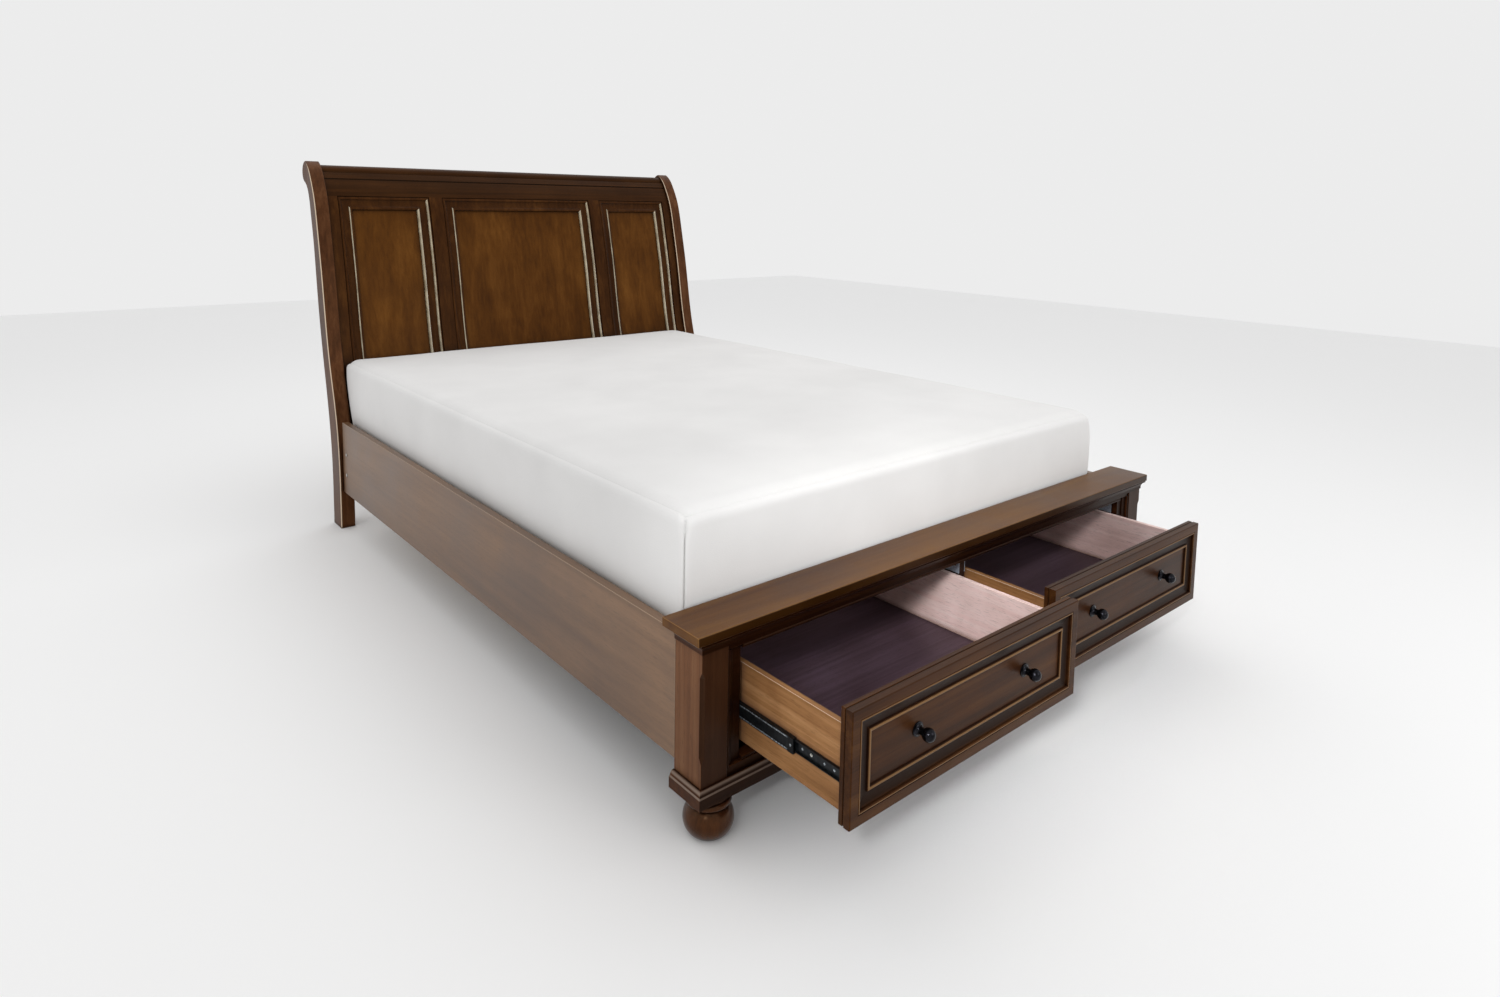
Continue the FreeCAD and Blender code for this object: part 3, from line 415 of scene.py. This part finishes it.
for place in ("left", "centre", "right"):
    node = "headboard_" + place + "_panel"
    low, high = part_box(node)
    moulding = curved_moulding("headboard_" + place + "_moulding", low.x, high.x, low.z, high.z,
                               front_line(node))
    moulding.data.materials.append(cherry(place + "_moulding", "z", reach=0.024))
    moulding.data.materials.append(painted_highlight_bead("painted_highlight_bead_" + place))
    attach(moulding, "bed_frame")
    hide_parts(node + "_moulding")

# ---------------------------------------------------------------- side rails
# Two plain boards on edge, stained a lighter brown and hooked to the headboard's posts with steel
# plates. Two bolts show near each headboard end. The plates, and the brackets that stiffen the
# footboard's corners, are zinc plated.

# The rails' eased arrises take a light painted highlight.
for side in ("left", "right"):
    finish_with(cherry(side + "_side_rail", "y", "side", arrises="straight", rubbed="#B9A48C",
                       streaks=0.35, reflection=1.0, tint="#F4E4D6"), side + "_side_rail")


def plated_steel(name, light, dark, roughness, spot_mm=4.0):
    """Zinc-plated sheet steel: bright metal with a faint crystalline mottle a few millimetres
    across."""
    material = new_material(name)
    place = add_node(material, "TexCoord").outputs["Object"]
    mottle = add_node(material, "TexNoise", {"Vector": place, "Scale": 1000 / spot_mm, "Detail": 3.0})
    colour = add_node(material, "ValToRGB", {0: mottle.outputs["Fac"]},
                      stops=[(0.35, dark), (0.65, light)]).outputs[0]
    rough = add_node(material, "MapRange", {0: mottle.outputs["Fac"], 1: 0.3, 2: 0.7,
                                            3: roughness - 0.06, 4: roughness + 0.08}).outputs[0]
    relief = add_node(material, "Bump", {"Height": mottle.outputs["Fac"], "Strength": 0.1,
                                         "Distance": 0.0002})
    surface = add_node(material, "BsdfPrincipled", {
        "Base Color": colour, "Metallic": 0.7, "Roughness": rough, "Normal": relief.outputs[0]})
    add_node(material, "OutputMaterial", {"Surface": surface.outputs[0]})
    return material


finish_with(plated_steel("zinc_plated_steel_brackets", "#D3E0EE", "#A9B8CA", 0.5),
            "corner_brackets", "rail_hook_plates")
finish_with(plated_steel("zinc_plated_steel_screws", "#C9C9C4", "#A3A39C", 0.3),
            "frame_screws_and_bolts", "left_drawer_screws", "right_drawer_screws")

# ---------------------------------------------------------------- mattress support
# Pine slats on ledgers screwed to the side rails, with a centre beam on three legs. Planed, no finish.

for node, along in (("bed_slats", "x"), ("slat_ledgers", "y"), ("centre_beam", "y"),
                    ("support_legs", "z")):
    # The darker pine colour is painted shade, put into the corners by ambient occlusion.
    pine = stained_wood("planed_pine_" + node, along, "#B68E58", "#D0AC76", "#DFC290",
                        glaze_and_shade="#8A6A40", gloss=0.5)
    finish_with(pine, node)

# ---------------------------------------------------------------- footboard
# Square posts with a stopped chamfer, a thick cap over a cove, rails with slim beads round the drawer
# opening, and a base moulding on turned bun feet. The same stained cherry, with painted shade on its
# front faces; the cap and base moulding take a painted highlight along their arrises, and the posts'
# arrises and chamfers are painted darker.

for side in ("left", "right"):
    finish_with(cherry(side + "_foot_post", "z", "post", arrises="straight", rubbed="#1E100B",
                       toned_front=True), "footboard_" + side + "_post")
    finish_with(cherry(side + "_bun_foot", "z", "footboard", gloss=0.2, reflection=0.5),
                side + "_bun_foot")
finish_with(cherry("foot_cap", "x", "cap", arrises="straight", rubbed="#8A6846", toned_front=True,
                   streaks=0.3, pore_depth=0.2, reflection=0.25), "footboard_cap")
for piece in ("cap_moulding", "top_rail", "bottom_rail"):
    finish_with(cherry("foot_" + piece, "x", "footboard", toned_front=True), "footboard_" + piece)
finish_with(cherry("foot_base_moulding", "x", "footboard", toned_front=True, arrises="straight",
                   rubbed="#8E7E72"), "footboard_base_moulding")
finish_with(cherry("opening_frame", "x", "footboard", toned_front=True), "drawer_opening_frame")

# ---------------------------------------------------------------- drawer case
# Plywood walls, back and dust panel behind the footboard, stained dark. The walls carry the outer
# slide members.

for node, along in (("drawer_case_sides", "y"), ("drawer_case_divider", "y"),
                    ("drawer_case_back", "x"), ("drawer_case_bottom", "x")):
    plywood = stained_wood("dark_plywood_" + node, along, "#1F1412", "#2E1F1A", "#3C2A22", gloss=0.45)
    finish_with(plywood, node)

# ---------------------------------------------------------------- drawers
# Boxes of clear-lacquered rubberwood with a dark faced plywood bottom, and a front of two layers: a
# backing board with a raised field, and a mitred frame with a bead along each edge of its hollow.

for side in ("left", "right"):
    prefix = side + "_drawer_"
    finish_with(cherry(side + "_drawer_field", "x", "drawer"), prefix + "front_panel")
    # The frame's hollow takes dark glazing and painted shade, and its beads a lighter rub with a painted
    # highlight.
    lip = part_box(prefix + "front_frame")[0].y
    finish_with(cherry(side + "_drawer_frame", "x", "drawer", lip=lip, rubbed="#74583A"),
                prefix + "front_frame")
    # Painted light: the right sides and backs, lit inside the open drawers, take a near-white copy of
    # the rubberwood, and the walls' arrises a light painted highlight.
    for wall, along, tone in (("left_side", "y", "honey"), ("right_side", "y", "pale"),
                              ("back", "x", "pale")):
        tones = {"honey": ("#7A5433", "#9A7048", "#C09468"), "pale": ("#E8C4C0", "#F8DAD6", "#FFEEEA")}
        rubberwood = stained_wood(tone + "_rubberwood_" + side + "_" + wall, along, *tones[tone],
                                  glaze_and_shade="#6A4A36", gloss=0.4, arrises="straight", rubbed="#E9DCCB",
                                  pore_depth=0.3)
        finish_with(rubberwood, prefix + wall)
    faced = stained_wood("dark_faced_plywood_" + side, "x", "#42333B", "#52424C", "#62505C",
                         glaze_and_shade="#2A1D24", gloss=0.35)
    finish_with(faced, prefix + "bottom")

# ---------------------------------------------------------------- knobs
# Cast zinc knobs with a rosette, a waist and a ball, in a dark bronze finish. Each is held by a screw
# from inside its drawer.


def dark_bronze(name):
    """Cast metal with a dark patina: nearly black and fairly shiny, in patches 5 to 6 mm across."""
    material = new_material(name)
    place = add_node(material, "TexCoord").outputs["Object"]
    patina = add_node(material, "TexNoise", {"Vector": place, "Scale": 180.0, "Detail": 4.0})
    colour = add_node(material, "ValToRGB", {0: patina.outputs["Fac"]},
                      stops=[(0.35, "#101013"), (0.70, "#24242A")]).outputs[0]
    rough = add_node(material, "MapRange", {0: patina.outputs["Fac"], 1: 0.3, 2: 0.7, 3: 0.16,
                                            4: 0.3}).outputs[0]
    relief = add_node(material, "Bump", {"Height": patina.outputs["Fac"], "Strength": 0.08,
                                         "Distance": 0.0002})
    surface = add_node(material, "BsdfPrincipled", {
        "Base Color": colour, "Metallic": 0.9, "Roughness": rough, "Normal": relief.outputs[0]})
    add_node(material, "OutputMaterial", {"Surface": surface.outputs[0]})
    return material


finish_with(dark_bronze("dark_bronze_knobs"), "left_drawer_knobs", "right_drawer_knobs")

# ---------------------------------------------------------------- drawer slides
# Three nested channels of rolled steel on each side of a drawer, black plated. The middle one has
# bright pressed ribs and a black bumper, and rivets show on the one that the drawer carries.

finish_with(plated_steel("black_plated_steel", "#26292C", "#15171A", 0.34, spot_mm=8.0),
            "slide_cabinet_members", "left_slide_middle_members", "right_slide_middle_members",
            "left_drawer_slide_members", "right_drawer_slide_members")


def steel_piece(name, blocks, discs, body, material):
    """Small steel parts as one mesh: blocks as (low, high) corners, and discs as (centre, radius,
    thickness) with their axis along X."""
    maker = bmesh.new()
    for low, high in blocks:
        made = bmesh.ops.create_cube(maker, size=1.0)["verts"]
        bmesh.ops.scale(maker, vec=Vector(high) - Vector(low), verts=made)
        bmesh.ops.translate(maker, vec=(Vector(high) + Vector(low)) / 2, verts=made)
    for centre, radius, thickness in discs:
        turned = Matrix.Translation(centre) @ Matrix.Rotation(math.pi / 2, 4, "Y")
        bmesh.ops.create_cone(maker, cap_ends=True, segments=20, radius1=radius, radius2=radius,
                              depth=thickness, matrix=turned)
    piece = new_piece(name, maker)
    piece.data.materials.append(material)
    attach(piece, body)


bright_steel = plated_steel("bright_zinc_slide_rails", "#AEB6BC", "#7E868C", 0.25)
bumper_steel = plated_steel("black_slide_bumpers", "#1C1E21", "#101214", 0.3)
proud = 0.8 * MM
sunk = 0.4 * MM
rib_width = 2.2 * MM
rib_margin = 2 * MM
rib_start = 16 * MM
rib_end = 4 * MM
bumper_length = 14 * MM
bumper_rivet_radius = 2.5 * MM
member_rivet_radius = 2.4 * MM
member_web_depth = 4.6 * MM
MEMBER_RIVETS = (16, 40, 96, 128)

for side in ("left", "right"):
    low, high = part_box(side + "_slide_middle_members")
    middle = (low.z + high.z) / 2
    ribs, bumpers, rivets = [], [], []
    for face, away in ((low.x, -1), (high.x, 1)):
        outer = face + away * proud
        x_low, x_high = sorted((outer, face - away * sunk))
        for z in (low.z + rib_margin, high.z - rib_margin - rib_width):
            ribs.append(((x_low, low.y + rib_start, z), (x_high, high.y - rib_end, z + rib_width)))
        bumpers.append(((x_low, low.y, low.z), (x_high, low.y + bumper_length, high.z)))
        rivets.append(((outer, low.y + bumper_length / 2, middle), bumper_rivet_radius, proud))
    steel_piece(side + "_slide_ribs", ribs, rivets, side + "_slide_middle", bright_steel)
    steel_piece(side + "_slide_bumpers", bumpers, [], side + "_slide_middle", bumper_steel)
    low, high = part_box(side + "_drawer_slide_members")
    middle = (low.z + high.z) / 2
    rivets = []
    for face, away in ((low.x, 1), (high.x, -1)):
        web = face + away * member_web_depth
        for along in MEMBER_RIVETS:
            rivets.append(((web, low.y + along * MM, middle), member_rivet_radius, proud))
    steel_piece(side + "_slide_rivets", [], rivets, side + "_drawer", bright_steel)

# ---------------------------------------------------------------- mattress
# A foam mattress, 250 mm thick, in a tight white stretch-knit cover stitched at its four corners, with
# painted shade in the corner seams and where the cover meets the bed's frame.


def stretch_knit(name):
    """Fine white knit. The loops are really 0.6 mm apart and are drawn at 2.4 mm, so that they show."""
    material = new_material(name)
    place = add_node(material, "TexCoord").outputs["Object"]
    loops = add_node(material, "TexVoronoi", {"Vector": place, "Scale": 1000 / 2.4})
    slack = add_node(material, "TexNoise", {"Vector": place, "Scale": 4.0, "Detail": 4.0})
    colour = add_node(material, "ValToRGB", {0: slack.outputs["Fac"]},
                      stops=[(0.3, "#DBDAD9"), (0.7, "#E2E1E0")]).outputs[0]
    # Painted shade: ambient occlusion within 6 mm darkens the corner seams' grooves and the cover where
    # it meets the bed.
    seam = add_node(material, "AmbientOcclusion", {"Distance": 0.006}, samples=4)
    seam_and_contact_shade = add_node(material, "ValToRGB", {0: seam.outputs["AO"]},
                    stops=[(0.35, "#8E8C8A"), (0.80, "#FFFFFF")]).outputs[0]
    colour = add_node(material, "Mix", {0: 1.0, 6: colour, 7: seam_and_contact_shade}, data_type="RGBA",
                      blend_type="MULTIPLY").outputs[2]
    ripple = add_node(material, "Bump", {"Height": slack.outputs["Fac"], "Strength": 0.2,
                                         "Distance": 0.004})
    relief = add_node(material, "Bump", {"Height": loops.outputs["Distance"], "Strength": 0.25,
                                         "Distance": 0.0006, "Normal": ripple.outputs[0]})
    surface = add_node(material, "BsdfPrincipled", {
        "Base Color": colour, "Roughness": 0.9, "Sheen Weight": 0.15, "Sheen Roughness": 0.5,
        "Normal": relief.outputs[0]})
    add_node(material, "OutputMaterial", {"Surface": surface.outputs[0]})
    return material


def spaced(low, high, rounding, arc_steps, flat_steps):
    """Positions across a side, close together where the edge is rounded."""
    arc = [rounding * (1 - math.cos(math.pi / 2 * i / arc_steps)) for i in range(arc_steps)]
    flat_low, flat_high = low + rounding, high - rounding
    flat = [flat_low + (flat_high - flat_low) * i / flat_steps for i in range(flat_steps + 1)]
    return [low + a for a in arc] + flat + [high - a for a in reversed(arc)]


def mattress_mesh(low, high, back_low):
    """A crowned block, rounded more along its top edges than along its bottom ones, with a stitched seam
    down each corner, where the cover faces midway between two sides. It is uneven by about 2 mm every
    320 mm, and by under 1 mm every 110 mm. back_low is how far its head end leans in at the bottom."""
    top_rounding = 42 * MM
    bottom_rounding = 13 * MM
    crown = 7 * MM
    belly = 4 * MM
    seam_depth = 3.0 * MM
    maker = bmesh.new()
    xs = spaced(low.x, high.x, top_rounding, 8, 60)
    ys = spaced(low.y, high.y, top_rounding, 8, 84)
    zs = spaced(low.z, high.z, top_rounding, 8, 14)
    found = {}

    def corner(i, j, k):
        if (i, j, k) not in found:
            found[(i, j, k)] = maker.verts.new((xs[i], ys[j], zs[k]))
        return found[(i, j, k)]

    last = [len(line) - 1 for line in (xs, ys, zs)]
    for fixed, (a, b) in ((0, (1, 2)), (1, (0, 2)), (2, (0, 1))):
        for end in (0, last[fixed]):
            for p in range(last[a]):
                for q in range(last[b]):
                    square = []
                    for da, db in ((0, 0), (1, 0), (1, 1), (0, 1)):
                        index = [0, 0, 0]
                        index[fixed], index[a], index[b] = end, p + da, q + db
                        square.append(corner(*index))
                    maker.faces.new(square)
    centre = (low + high) / 2
    half = (high - low) / 2
    for vertex in maker.verts:
        offset = vertex.co - centre
        x, y, z = (offset[i] / half[i] for i in range(3))
        rounding = bottom_rounding + (top_rounding - bottom_rounding) * max(0.0, z) ** 3
        inner = half - Vector((rounding,) * 3)
        core = Vector([max(-limit, min(limit, value)) for value, limit in zip(offset, inner)])
        away = (offset - core).normalized()
        spot = centre + core + away * rounding
        spot += away * belly * (1 - z * z) * (1 - abs(away.z))
        spot.z += crown * away.z * (1 - x ** 4) * (1 - y ** 4) if away.z > 0 else 0
        unevenness = noise.noise(spot * 3.1) * 2.2 + noise.noise(spot * 9.0) * 0.7
        spot += away * unevenness * MM
        on_seam = abs(abs(away.x) - abs(away.y)) < 0.12 and abs(away.z) < 0.3
        spot -= away * seam_depth * on_seam
        lean = (1 - (z + 1) / 2) * back_low
        spot.y -= lean * max(0.0, min(1.0, (y - 0.6) / 0.4)) ** 2
        vertex.co = spot
    return maker


low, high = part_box("mattress")
bottom_back = max(v.co.y for v in nodes["mattress"].data.vertices if v.co.z < low.z + 0.01)
stand_in = 3 * MM
mattress = new_piece("quilted_mattress", mattress_mesh(
    low + Vector((stand_in, stand_in, stand_in)), high - Vector((stand_in, stand_in, 3 * stand_in)),
    high.y - bottom_back))
mattress.data.materials.append(stretch_knit("white_stretch_knit"))
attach(mattress, "mattress")
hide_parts("mattress")
